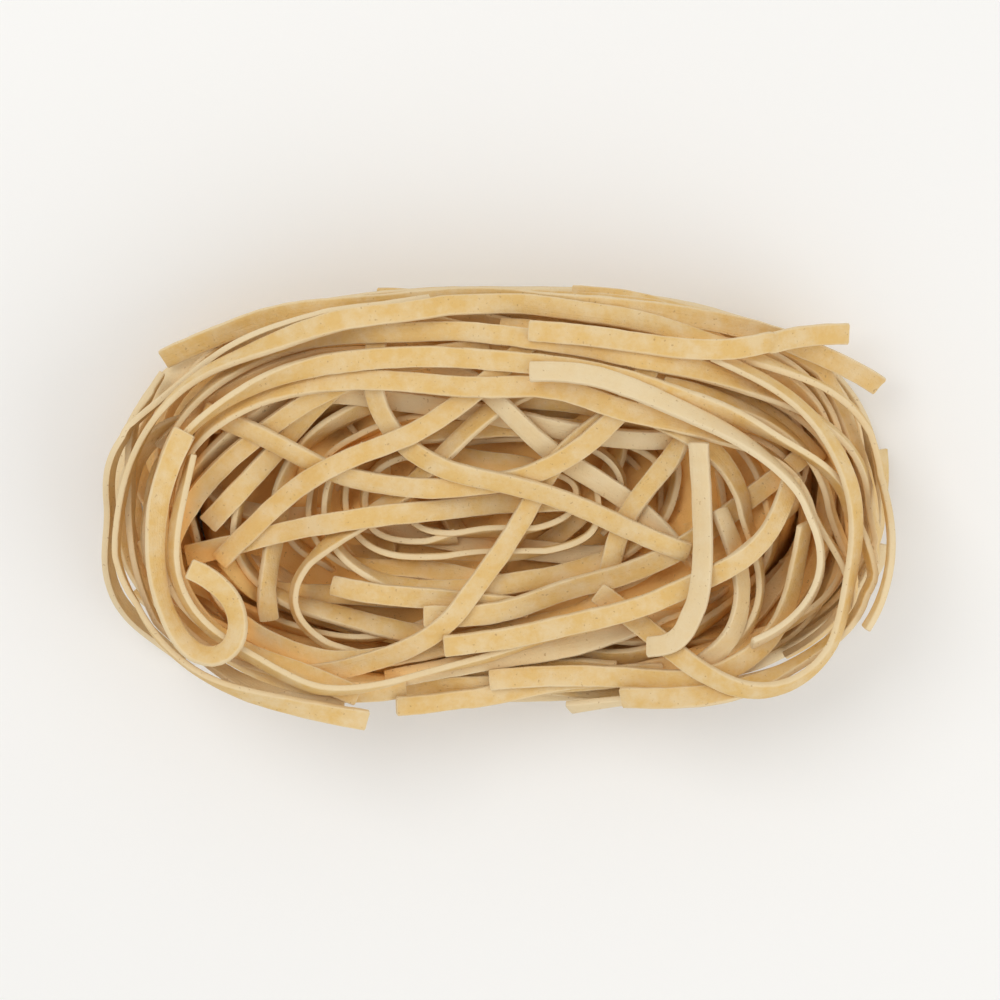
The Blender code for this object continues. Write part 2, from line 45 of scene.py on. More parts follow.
winding = {
    "length": 148.0,
    "width": 77.0,
    "squareness": 2.5,  # two is an ellipse, more is squarer
    "lowerNoodles": 50,  # laid by the rule, before the ones that show
    "crossingShare": 0.36,  # the others circle inside or follow the rim
    "innerShare": 0.22,
    "rimLanes": (0.62, 0.93),
    "innerLanes": (0.2, 0.5),
    "crossingLanes": (0.75, 0.92),
    "middleLanes": (0.0, 0.45),
    "laneLimits": (0.2, 0.975),
    "laneDrift": 0.2,  # how far a noodle changes lanes on its way
    "laneWaves": 0.035,
    "rimCreep": 0.08,  # later noodles lie further in
    "crossingTurns": (-0.16, -0.06, 0.04, 0.2),
    "arrivingTurns": (-0.06, 0.04, 0.14),
    "crossingDrift": 0.12,
    "leavingLane": 0.72,
    "arrivingLanes": (0.7, 0.82),
    "turns": (0.75, 1.3),  # how often a noodle goes round
    "forwardShare": 0.75,  # wound anticlockwise
    "flares": (-0.12, 0.10),  # ends leave their lane
    "flareShare": 0.12,
    "seed": 5,
    "leans": (0, 30),  # a straight noodle lies nearly flat
    "leanOfBend": (0.8, 1.5),  # a bent one stands on edge
    "mostBendLean": 60,
    "leanWaves": 14,
    "mostLean": 80,
    "choices": 8,  # tries for each noodle, of which the lowest stays
    "levelLanes": (0.0, 0.3, 0.5, 0.72, 0.9, 1.0, 1.2),
    "levels": (20.0, 20.0, 22.0, 26.0, 23.0, 13.0, 3.0),  # wanted height over those lanes
    "peakCost": 0.2,
    "drapeRadius": 10.0,  # stiffness where it bridges a gap
    "drapeSlack": 2.5,
    "drapeRounds": 3,
    "liftBlur": 0.6,
    "settling": 3.2,  # how far a noodle slides sideways
    "shownSettling": 0.8,
    "shownWaves": 0.7,
    "shownLeanWaves": 9,
    "waveLength": 10,
    "fewestKnots": 4,
    "turnedUp": (0.3, 0.8),  # where along the nest a loop starts and ends to turn up
    "slideStep": 0.8,
    "slideCost": 0.06,
    "slideBlur": 9,
    "slideRounds": 3,
    "contactBlur": 4,
    "mostLane": 0.95,
    "floorGap": 0.3,
    "step": 1.0,
    "cell": 0.5,  # of the height map
    "margin": 20.0,
    "lanePoints": 120,
    "restSamples": 9,
    "topSamples": 13,
    "sampleInset": 0.98,
    "bendBlur": 6,
}

noodle = {
    "width": 3.8,
    "thickness": 1.15,
    "cornerRadius": 0.24,
    "cornerPoints": 3,
}

# Noodles that show on top, in the order they were laid. A loop follows the rim in turns and lanes,
# a span crosses the nest through a few places
shownNoodles = (
    {"span": ((-31, -16), (-20, -17), (-10, -18), (5, -21)), "tilt": (0, 5, 0)},
    {"span": ((-14, -21), (0, -20), (12, -16), (23, -13), (41, -5), (55, 11)), "tilt": (5, 8, 0)},
    {"span": ((-58, -8), (-45, -5), (-31, -4), (-13, -1), (12, 0)), "tilt": (0, -10, 0)},
    {"span": ((-52, -5), (-47, 3), (-41, 10), (-31, 22), (-17, 29)), "tilt": (0, 12, 10)},
    {"span": ((-63, -11), (-59, -1), (-51, 8), (-41, 15), (-24, 26), (-2, 29)), "tilt": (30, 10, 10)},
    {"loop": (-0.15, 0.18), "lanes": (0.87, 0.70, 0.57, 0.53, 0.53), "tilt": (20, 78)},
    {"span": ((37, -29), (42, -25), (45, -18), (45, -10), (41, 0)), "tilt": (20, 50, 30)},
    {"span": ((-47, -30), (-36, -31), (-20, -28), (-10, -22), (-6, -17), (-2, -12), (5, -1), (12, 11),
              (27, 22)), "tilt": (5, 12, 10)},
    {"span": ((-54, 17), (-43, 12), (-30, 5), (-15, 1), (0, 3), (13, 9), (23, 18), (29, 28)),
     "tilt": (20, 5, 15)},
    {"span": ((-22, 31), (-24, 21), (-19, 11), (-8, 5), (6, 3), (20, -2), (34, -9)), "tilt": (10, 20, 10)},
    {"span": ((8, 31), (-2, 22), (-14, 14), (-27, 9), (-40, 1), (-52, -10)), "tilt": (10, 5, 15)},
    {"loop": (-0.13, 0.16), "lanes": (0.99, 0.92, 0.80, 0.69, 0.66), "tilt": (35, 80)},
    {"loop": (-0.16, 0.69), "lanes": (1.02, 0.97, 0.75, 0.57, 0.51, 0.58, 0.68, 0.76, 0.81, 0.84, 0.92),
     "tilt": (8, 80)},
    {"loop": (-0.04, 0.72), "lanes": (0.97, 0.86, 0.74, 0.72, 0.80, 0.85, 0.85, 0.86, 0.88, 0.94, 0.90),
     "tilt": (6, 76)},
    {"loop": (0.40, 0.07), "lanes": (1.01, 0.98, 0.95, 0.93, 0.93, 0.97, 1.03), "tilt": (0, 8)},
    {"loop": (0.70, 0.41), "lanes": (0.99, 0.96, 0.89, 0.88, 0.97), "tilt": (25, 82)},
    {"loop": (0.63, 0.27), "lanes": (1.10, 1.03, 0.98, 0.94, 0.92, 0.93, 0.97), "tilt": (40, 80)},
    {"span": ((-19, -38), (-7, -37), (0, -36), (12, -33), (30, -31)), "tilt": (0, 10, 0)},
    {"span": ((13, -39), (23, -37), (37, -36), (52, -33), (61, -27)), "tilt": (60, 60, 60)},
    {"span": ((-2, -32), (23, -32), (37, -31), (50, -25), (55, -16), (55, -3)), "tilt": (0, 5, 50)},
    {"loop": (0.70, -0.21), "lanes": (0.88, 0.86, 0.83, 0.77, 0.74, 0.68, 0.61, 0.69, 0.91, 1.04, 0.92),
     "tilt": (4, 80)},
    {"loop": (-0.08, 0.71), "lanes": (1.00, 0.97, 0.88, 0.82, 0.92, 0.93, 0.90, 0.91, 0.94, 1.00, 1.02),
     "tilt": (10, 82)},
    {"span": ((18, -16), (27, -22), (35, -29), (43, -32), (52, -32), (59, -27), (63, -18), (65, -6), (64, 4),
              (60, 13), (52, 21), (38, 27)), "tilt": (0, 65, 75)},
    {"span": ((-57, 10), (-60, 1), (-60, -8), (-56, -18), (-46, -28), (-31, -34), (-17, -32), (-2, -29),
              (12, -24), (27, -19), (41, -12), (55, -1)), "tilt": (70, 70, 60)},
    {"span": ((-10, -27), (0, -24), (10, -22), (23, -18), (37, -13), (48, -5), (52, 6)), "tilt": (5, 10, 20)},
    {"span": ((-55, -9), (-52, -11), (-47, -17), (-48, -25), (-55, -26), (-59, -18), (-60, -7), (-60, 4),
              (-56, 14)), "tilt": (0, 60, 5)},
    {"loop": (-0.13, 0.24), "lanes": (0.84, 0.82, 0.75, 0.66, 0.61, 0.61, 0.66), "tilt": (30, 80)},
    {"span": ((36, 12), (37, 2), (37, -13), (36, -19), (33, -26), (27, -27)), "tilt": (10, 40, 20)},
    {"span": ((64, 30), (55, 30), (41, 27), (23, 29), (5, 31)), "tilt": (0, 10, 0)},
)


def place(turn, lane):  # nest coordinates to millimetres: turns from +X, lane 1 on the outline
    angle = 2 * math.pi * np.asarray(turn, float)
    power = 2 / winding["squareness"]
    across = np.cos(angle)
    along = np.sin(angle)
    x = winding["length"] / 2 * lane * np.sign(across) * np.abs(across) ** power
    y = winding["width"] / 2 * lane * np.sign(along) * np.abs(along) ** power
    return np.stack([x, y], axis=-1)


def laneOf(path):
    x = np.abs(path[:, 0]) / (winding["length"] / 2)
    y = np.abs(path[:, 1]) / (winding["width"] / 2)
    return (x ** winding["squareness"] + y ** winding["squareness"]) ** (1 / winding["squareness"])


def spline(knots, perSpan=12):  # cubic B-spline that starts and ends at its end knots
    knots = np.asarray(knots, float)
    if knots.ndim == 1:
        knots = knots[:, None]
    knots = np.vstack([2 * knots[0] - knots[1], knots, 2 * knots[-1] - knots[-2]])
    t = np.linspace(0, 1, perSpan, endpoint=False)[:, None]
    blend = (
        (1 - t) ** 3 / 6,
        (3 * t ** 3 - 6 * t ** 2 + 4) / 6,
        (1 + 3 * t + 3 * t ** 2 - 3 * t ** 3) / 6,
        t ** 3 / 6,
    )
    spans = []
    for first in range(len(knots) - 3):
        spans.append(sum(blend[k] * knots[first + k] for k in range(4)))
    spans.append(knots[-2:-1])
    return np.vstack(spans)


def evenly(points, step):  # the same line with its points a step apart
    run = np.r_[0, np.cumsum(np.linalg.norm(np.diff(points, axis=0), axis=1))]
    count = max(8, int(round(run[-1] / step)))
    stations = np.linspace(0, run[-1], count + 1)
    return np.column_stack([np.interp(stations, run, column) for column in points.T])


def smooth(values, reach):  # Gaussian smoothing that keeps the slope at both ends
    half = min(int(3 * reach) + 1, len(values) - 1)
    kernel = np.exp(-0.5 * (np.arange(-half, half + 1) / reach) ** 2)
    kernel /= kernel.sum()
    before = 2 * values[0] - values[1:half + 1][::-1]
    after = 2 * values[-1] - values[-half - 1:-1][::-1]
    return np.convolve(np.r_[before, values, after], kernel, "valid")


def sideDirections(path):
    ahead = np.gradient(path, axis=0)
    ahead /= np.linalg.norm(ahead, axis=1)[:, None]
    return np.column_stack([-ahead[:, 1], ahead[:, 0]])


def bending(path):
    first = np.gradient(path, axis=0)
    second = np.gradient(first, axis=0)
    speed = np.linalg.norm(first, axis=1)
    bend = (first[:, 0] * second[:, 1] - first[:, 1] * second[:, 0]) / speed ** 3
    return smooth(bend, winding["bendBlur"])


def facesAt(roll, offset):  # lower and upper face of a tilted noodle at a sideways offset
    least = 1e-3  # keeps the divisions finite
    across = np.maximum(np.abs(np.cos(roll)), least)
    up = np.sin(roll)
    up = np.where(np.abs(up) < least, least, up)
    halfWidth = noodle["width"] / 2
    halfThickness = noodle["thickness"] / 2
    edgeA = (-halfWidth - offset * across) / up
    edgeB = (halfWidth - offset * across) / up
    low = np.maximum((-halfThickness + offset * up) / across, np.minimum(edgeA, edgeB))
    high = np.minimum((halfThickness + offset * up) / across, np.maximum(edgeA, edgeB))
    return low, high


class Pile:  # height map of the noodles laid so far
    def __init__(self):
        self.columns = int((winding["length"] + 2 * winding["margin"]) / winding["cell"])
        self.rows = int((winding["width"] + 2 * winding["margin"]) / winding["cell"])
        self.level = np.full((self.rows, self.columns), winding["floorGap"])

    def cells(self, x, y):
        column = ((x + winding["length"] / 2 + winding["margin"]) / winding["cell"]).astype(int)
        row = ((y + winding["width"] / 2 + winding["margin"]) / winding["cell"]).astype(int)
        return np.clip(row, 0, self.rows - 1), np.clip(column, 0, self.columns - 1)

    def widened(self):
        tall = self.level
        for axis in (0, 1):
            tall = np.maximum(tall, np.maximum(np.roll(tall, 1, axis), np.roll(tall, -1, axis)))
        return tall

    def footprint(self, path, side, roll, samples):
        half = np.abs(np.cos(roll)) * noodle["width"] + np.abs(np.sin(roll)) * noodle["thickness"]
        half = half / 2
        offset = half[:, None] * np.linspace(-1, 1, samples)[None, :]
        low, high = facesAt(roll[:, None], offset * winding["sampleInset"])
        x = path[:, 0][:, None] + side[:, 0][:, None] * offset
        y = path[:, 1][:, None] + side[:, 1][:, None] * offset
        row, column = self.cells(x, y)
        return row, column, low, high

    def contact(self, path, side, roll, tall):
        row, column, low, _ = self.footprint(path, side, roll, winding["restSamples"])
        return (tall[row, column] - low).max(1)

    def settle(self, path, roll, tall, reach):  # slides sideways into lower places
        most = np.maximum(laneOf(path), winding["mostLane"])
        shifts = np.arange(-reach, reach + winding["slideStep"] / 8, winding["slideStep"])
        for _ in range(winding["slideRounds"]):
            side = sideDirections(path)
            levels = []
            for shift in shifts:
                touch = self.contact(path + side * shift, side, roll, tall)
                levels.append(smooth(touch, winding["contactBlur"]))
            cost = np.array(levels) + winding["slideCost"] * shifts[:, None] ** 2
            weight = np.exp(-(cost - cost.min(0)) / winding["slideStep"])
            move = (weight * shifts[:, None]).sum(0) / weight.sum(0)
            path = path + side * smooth(move, winding["slideBlur"])[:, None] * winding["slideStep"]
            path = path * np.minimum(1, most / laneOf(path))[:, None]
        return path

    def drape(self, path, roll, reach):  # rests on the pile, stiff enough to bridge the gaps
        tall = self.widened()
        path = self.settle(path, roll, tall, reach)
        run = np.arange(len(path)) * winding["step"]
        touch = self.contact(path, sideDirections(path), roll, tall)
        fall = (run[:, None] - run[None, :]) ** 2 / (2 * winding["drapeRadius"])
        height = (touch[None, :] - fall).max(1)
        slack = winding["drapeSlack"]
        for _ in range(winding["drapeRounds"]):
            height = smooth(height, slack)
            short = np.maximum(touch - height, 0)
            lift = short.copy()
            for shift in range(1, int(slack) + 1):
                lift[shift:] = np.maximum(lift[shift:], short[:-shift])
                lift[:-shift] = np.maximum(lift[:-shift], short[shift:])
            height = height + smooth(lift, slack * winding["liftBlur"])
        return np.column_stack([path, height])

    def add(self, line, roll):
        side = sideDirections(line[:, :2])
        for part in (0, 0.5):  # at each point and halfway to the next
            middle = line[:-1] * (1 - part) + line[1:] * part
            samples = winding["topSamples"]
            row, column, _, high = self.footprint(middle[:, :2], side[:-1], roll[:-1], samples)
            top = middle[:, 2][:, None] + high
            order = np.argsort(top, axis=None)
            row, column, top = row.ravel()[order], column.ravel()[order], top.ravel()[order]
            higher = top > self.level[row, column]
            self.level[row[higher], column[higher]] = top[higher]

    def levelNear(self, point, reach):
        steps = np.arange(-reach, reach + winding["cell"], winding["cell"])
        dx, dy = np.meshgrid(steps, steps)
        inside = dx ** 2 + dy ** 2 <= reach ** 2
        row, column = self.cells(point[0] + dx[inside], point[1] + dy[inside])
        return self.level[row, column].mean()


def waves(rng, count, size, knots=8):
    wave = spline(rng.normal(0, size, knots), perSpan=30)[:, 0]
    return np.interp(np.linspace(0, 1, count), np.linspace(0, 1, len(wave)), wave)


def knotCount(points, spacing):  # knots for waves of about that spacing
    return max(winding["fewestKnots"], points // spacing)


def woundPath(rng, lanes):  # about once round, the ends flaring in or out
    turns = rng.uniform(*winding["turns"])
    start = rng.uniform(0, 1)
    way = 1 if rng.random() < winding["forwardShare"] else -1
    base = rng.uniform(*lanes)
    drift = rng.uniform(-winding["laneDrift"], winding["laneDrift"])
    along = np.linspace(0, 1, winding["lanePoints"])
    lane = base + drift * (along - 0.5) + waves(rng, len(along), winding["laneWaves"])
    flares = rng.uniform(*winding["flares"], 2)
    lane += flares[0] * np.maximum(0, 1 - along / winding["flareShare"]) ** 2
    lane += flares[1] * np.maximum(0, 1 - (1 - along) / winding["flareShare"]) ** 2
    return place(start + way * along * turns, np.clip(lane, *winding["laneLimits"]))


def rimPath(rng, share):
    low, high = winding["rimLanes"]
    return woundPath(rng, (low, high - winding["rimCreep"] * share))


def innerPath(rng, share):
    return woundPath(rng, winding["innerLanes"])


def crossingPath(rng, share):  # in from the rim, across the middle, and on along the other side
    start = rng.uniform(0, 1)
    over = start + 0.5 + rng.uniform(-winding["crossingDrift"], winding["crossingDrift"])
    leaving = [start + turn for turn in winding["crossingTurns"]]
    arriving = [over + turn for turn in winding["arrivingTurns"]]
    inward, outward = winding["arrivingLanes"]
    return spline([
        place(leaving[0], rng.uniform(*winding["crossingLanes"])),
        place(leaving[1], rng.uniform(*winding["crossingLanes"])),
        place(leaving[2], winding["leavingLane"]),
        place(leaving[3], rng.uniform(*winding["middleLanes"])),
        place(arriving[0], inward),
        place(arriving[1], outward),
        place(arriving[2], rng.uniform(*winding["crossingLanes"])),
    ])


def kindOfPath(rng):
    draw = rng.random()
    if draw < winding["crossingShare"]:
        return crossingPath
    if draw < winding["crossingShare"] + winding["innerShare"]:
        return innerPath
    return rimPath


def naturalRoll(rng, path):  # on edge where the noodle bends tightly
    bend = np.clip(np.abs(bending(path)) * 1000, 0, winding["mostBendLean"])  # per metre, taken as degrees
    lean = rng.uniform(*winding["leans"]) + bend * rng.uniform(*winding["leanOfBend"])
    lean = lean + waves(rng, len(path), winding["leanWaves"])
    side = 1 if rng.random() < 0.5 else -1
    return np.radians(np.clip(side * lean, -winding["mostLean"], winding["mostLean"]))


def shownPath(rng, shown):
    if "loop" in shown:
        turns = np.linspace(*shown["loop"], len(shown["lanes"]))
        table = spline(np.column_stack([turns, shown["lanes"]]))
        path = evenly(place(table[:, 0], table[:, 1]), winding["step"])
        end = np.abs(path[:, 0]) / (winding["length"] / 2)
        low, high = winding["turnedUp"]
        share = np.clip((end - low) / (high - low), 0, 1)
        flat, tilted = shown["tilt"]
        roll = flat + (tilted - flat) * share ** 2 * (3 - 2 * share)
    else:
        path = evenly(spline(shown["span"]), winding["step"])
        roll = np.interp(np.linspace(0, 1, len(path)), (0, 0.5, 1), shown["tilt"])
    knots = knotCount(len(path), winding["waveLength"])
    path = path + sideDirections(path) * waves(rng, len(path), winding["shownWaves"], knots)[:, None]
    roll = roll + waves(rng, len(path), winding["shownLeanWaves"], knots)
    return path, np.radians(roll)


def layNest():
    rng = np.random.default_rng(winding["seed"])
    pile = Pile()
    laid = []
    for number in range(winding["lowerNoodles"]):
        share = number / winding["lowerNoodles"]
        kind = kindOfPath(rng)
        choices = []
        for _ in range(winding["choices"]):
            path = evenly(kind(rng, share), winding["step"])
            roll = naturalRoll(rng, path)
            line = pile.drape(path, roll, winding["settling"])
            height = line[:, 2]
            wanted = np.interp(laneOf(line), winding["levelLanes"], winding["levels"])
            over = np.maximum(height - wanted, 0)
            cost = height.mean() + over.mean() + winding["peakCost"] * height.max()
            choices.append((cost, line, roll))
        _, line, roll = min(choices, key=lambda choice: choice[0])
        pile.add(line, roll)
        laid.append((line, roll))
    for shown in shownNoodles:
        path, roll = shownPath(rng, shown)
        line = pile.drape(path, roll, winding["shownSettling"])
        pile.add(line, roll)
        laid.append((line, roll))
    return laid, pile


# The noodles as modelled pieces

# Which noodles, in the order they were laid, make each modelled piece
pieces = {
    "lowerNoodles": (0, 17),
    "middleNoodles": (17, 34),
    "upperNoodles": (34, 50),
    "shownNoodles": (50, 63),
    "topNoodles": (63, 79),
}

# How drying has warped a noodle. The waves are lengths in millimetres
drying = {
    "widthChange": 0.035,
    "thicknessChange": 0.06,
    "cup": 0.2,
    "raggedEdge": 0.06,
    "edgeFrom": 0.9,
    "endRounding": 0.18,
    "endBlend": 0.8,
    "widthWave": 14,
    "thicknessWave": 10,
    "cupWave": 30,
    "cupBalance": 0.33,
    "raggedBlur": 0.8,
    "paleReach": 0.8,
    "smoothAngle": 50,
    "seed": 5,
}

# How far below the top of the nest the colour deepens to amber, as painted shade for the gaps between noodles
paintedShade = {
    "blur": 6,
    "most": 9.0,
    "outerLane": 0.97,
    "fade": 0.12,
}


def sectionPoints():  # rounded rectangle, anticlockwise from the lower right corner
    halfWidth = noodle["width"] / 2
    halfThickness = noodle["thickness"] / 2
    radius = noodle["cornerRadius"]
    points = []
    for right, up, start in ((1, -1, 270), (1, 1, 0), (-1, 1, 90), (-1, -1, 180)):
        for k in range(noodle["cornerPoints"]):
            angle = math.radians(start + 90 * k / (noodle["cornerPoints"] - 1))
            x = right * (halfWidth - radius) + radius * math.cos(angle)
            y = up * (halfThickness - radius) + radius * math.sin(angle)
            points.append((x, y))
        if right == up:  # three more points along each flat face
            for part in (0.25, 0.5, 0.75):
                points.append((right * (halfWidth - radius) * (1 - 2 * part), up * halfThickness))
    return points


def makeSection(points):
    outline = bpy.data.curves.new("noodleSection", "CURVE")
    outline.dimensions = "2D"
    loop = outline.splines.new("POLY")
    loop.points.add(len(points) - 1)
    for point, (right, up) in zip(loop.points, points):
        point.co = (right * mm, up * mm, 0, 1)
    loop.use_cyclic_u = True
    section = bpy.data.objects.new("noodleSection", outline)
    bpy.context.scene.collection.objects.link(section)
    return section


def sweepNoodle(name, line, roll, section):  # curve swept with the section, then made a mesh
    curve = bpy.data.curves.new(name, "CURVE")
    curve.dimensions = "3D"
    curve.twist_mode = "Z_UP"
    curve.bevel_mode = "OBJECT"
    curve.bevel_object = section
    route = curve.splines.new("POLY")
    route.points.add(len(line) - 1)
    for point, (x, y, z), tilt in zip(route.points, line, roll):
        point.co = (x * mm, y * mm, z * mm, 1)
        point.tilt = tilt
    piece = bpy.data.objects.new(name, curve)
    bpy.context.scene.collection.objects.link(piece)
    bpy.ops.object.select_all(action="DESELECT")
    piece.select_set(True)
    bpy.context.view_layer.objects.active = piece
    bpy.ops.object.convert(target="MESH")
    return bpy.context.view_layer.objects.active


# Painted shade: depth under the smoothed top of the pile, faded out near the outline
def paintedShadeBelow(pile, where):  # 0 at the top of the pile to 1 well inside
    level = pile.level
    for _ in range(paintedShade["blur"]):
        for axis in (0, 1):
            level = (level + np.roll(level, 1, axis) + np.roll(level, -1, axis)) / 3
    row, column = pile.cells(where[:, 0] / mm, where[:, 1] / mm)
    inside = np.clip((paintedShade["outerLane"] - laneOf(where[:, :2] / mm)) / paintedShade["fade"], 0, 1)
    return np.clip((level[row, column] - where[:, 2] / mm) / paintedShade["most"], 0, 1) * inside


def warpNoodle(piece, points, pile, rng):  # uneven width, cupping and ragged edges, then closed ends
    mesh = piece.data
    around = len(points)
    corners = np.empty(len(mesh.vertices) * 3)
    mesh.vertices.foreach_get("co", corners)
    rings = corners.reshape(-1, around, 3)
    count = len(rings)
    across = np.array([p[0] for p in points]) / (noodle["width"] / 2)
    upward = np.array([p[1] for p in points]) / (noodle["thickness"] / 2)
    middle = rings.mean(1, keepdims=True)
    edge = drying["edgeFrom"]  # points past this are the narrow sides
    right = rings[:, across > edge].mean(1) - rings[:, across < -edge].mean(1)
    right /= np.linalg.norm(right, axis=1)[:, None]
    ahead = np.gradient(middle[:, 0], axis=0)
    ahead /= np.linalg.norm(ahead, axis=1)[:, None]
    up = np.cross(right, ahead)
    widthWave = waves(rng, count, drying["widthChange"], knotCount(count, drying["widthWave"]))
    thickWave = waves(rng, count, drying["thicknessChange"], knotCount(count, drying["thicknessWave"]))
    cupWave = waves(rng, count, drying["cup"], knotCount(count, drying["cupWave"])) * mm
    ragged = rng.normal(0, drying["raggedEdge"], (count, 2)) * mm
    ragged = np.column_stack([smooth(side, drying["raggedBlur"]) for side in ragged.T])
    onRight = np.clip(across, 0, 1) ** 4
    onLeft = np.clip(-across, 0, 1) ** 4
    sideways = across[None, :] * widthWave[:, None] * noodle["width"] / 2 * mm
    sideways += ragged[:, 0][:, None] * onRight[None, :] - ragged[:, 1][:, None] * onLeft[None, :]
    lift = upward[None, :] * thickWave[:, None] * noodle["thickness"] / 2 * mm
    lift += cupWave[:, None] * (across[None, :] ** 2 - drying["cupBalance"])
    rings = rings + right[:, None, :] * sideways[..., None] + up[:, None, :] * lift[..., None]
    keep = drying["endBlend"]
    shrink = 1 - drying["endRounding"]
    for end, inner in ((0, 1), (-1, -2)):  # the cut ends are slightly rounded
        centre = rings[end].mean(0)
        full = rings[end].copy()
        rings[end] = centre + (full - centre) * shrink
        rings[inner] = rings[inner] * (1 - keep) + full * keep
    mesh.vertices.foreach_set("co", rings.ravel())
    run = np.r_[0, np.cumsum(np.linalg.norm(np.diff(middle[:, 0], axis=0), axis=1))]
    fromEnd = np.minimum(run, run[-1] - run)
    for label, values in (
        ("along", np.repeat(run, around)),
        ("across", np.tile(across, count)),
        ("tone", np.full(count * around, rng.uniform(0, 1))),
        ("cut", np.repeat(np.exp(-fromEnd / (drying["paleReach"] * mm)), around)),
        # painted shade, deeper in the pile
        ("paintedShade", paintedShadeBelow(pile, rings.reshape(-1, 3))),
    ):
        layer = mesh.attributes.new(label, "FLOAT", "POINT")
        layer.data.foreach_set("value", values.astype(np.float32))
    bpy.ops.object.mode_set(mode="EDIT")
    bpy.ops.mesh.select_mode(type="EDGE")
    bpy.ops.mesh.select_all(action="DESELECT")
    bpy.ops.mesh.select_non_manifold()
    bpy.ops.mesh.edge_face_add()
    bpy.ops.mesh.select_all(action="SELECT")
    bpy.ops.mesh.normals_make_consistent(inside=False)
    bpy.ops.object.mode_set(mode="OBJECT")


def makeNoodles(laid, pile):
    points = sectionPoints()
    section = makeSection(points)
    made = []
    for name, (first, last) in pieces.items():
        parts = []
        for number in range(first, last):
            line, roll = laid[number]
            piece = sweepNoodle(f"noodle{number}", line, roll, section)
            warpNoodle(piece, points, pile, np.random.default_rng(drying["seed"] * 1000 + number))
            parts.append(piece)
        bpy.ops.object.select_all(action="DESELECT")
        for part in parts:
            part.select_set(True)
        bpy.context.view_layer.objects.active = parts[0]
        bpy.ops.object.join()
        piece = bpy.context.view_layer.objects.active
        piece.name = name
        piece.data.name = name
        bpy.ops.object.shade_smooth_by_angle(angle=math.radians(drying["smoothAngle"]))
        triangles = sum(len(face.vertices) - 2 for face in piece.data.polygons)
        print(name, len(parts), "noodles,", triangles, "triangles")
        made.append(piece)
    bpy.data.objects.remove(section, do_unlink=True)
    return made


# What lies deep inside the nest, seen only through gaps
heart = {
    "segments": 72,
    "rings": 28,
    "reach": 0.76,
    "foot": 0.70,
    "sink": 7.0,
    "least": 3.0,
    "blur": 4.0,
    "bottom": 1.0,
    "rounding": 0.7,
    "waist": 0.5,
    "waistRise": 0.04,
}


def makeHeart(pile):
    bpy.ops.object.select_all(action="DESELECT")
    bpy.ops.mesh.primitive_uv_sphere_add(segments=heart["segments"], ring_count=heart["rings"], radius=1)
    piece = bpy.context.view_layer.objects.active
    piece.name = "nestHeart"
    for vert in piece.data.vertices:
        turn = math.atan2(vert.co.y, vert.co.x) / (2 * math.pi)
        rise = math.asin(max(-1, min(1, vert.co.z))) / (math.pi / 2)
        if rise < 0:
            x, y = place(turn, heart["foot"] * (1 + rise) ** heart["rounding"])
            level = heart["bottom"]
        else:
            x, y = place(turn, heart["reach"] * (1 - rise) ** heart["rounding"])
            level = max(pile.levelNear((x, y), heart["blur"]) - heart["sink"], heart["least"])
            if rise < heart["waistRise"]:
                level *= heart["waist"]
        vert.co = (x * mm, y * mm, level * mm)
    # The heart takes the full painted shade
    for label, value in (("along", 0.0), ("across", 0.0), ("tone", 0.5), ("cut", 0.0), ("paintedShade", 1.0)):
        layer = piece.data.attributes.new(label, "FLOAT", "POINT")
        layer.data.foreach_set("value", np.full(len(piece.data.vertices), value, np.float32))
    bpy.ops.object.shade_smooth()
    return piece


# Finishes

def addNode(tree, kind, **settings):
    node = tree.nodes.new(kind)
    for name, value in settings.items():
        setattr(node, name, value)
    return node


# Noise as scale for each metre, detail and roughness. Ranges are where each effect starts and is full
pastaGrain = {
    "strandScale": (90, 7, 90),
    "streaks": (1.0, 3, 0.6),
    "mottling": (620, 4, 0.7),
    "flour": (190, 4, 0.68),
    "grain": (2200, 2, 0.7),
    "specks": (1500, 1, 0.5),
    "streakRange": (0.35, 0.72),
    "mottlingRange": (0.34, 0.66),
    "flourRange": (0.40, 0.64),
    "branRange": (0.70, 0.77),
    "grainHeight": 0.55,
    "streakHeight": 0.4,
}


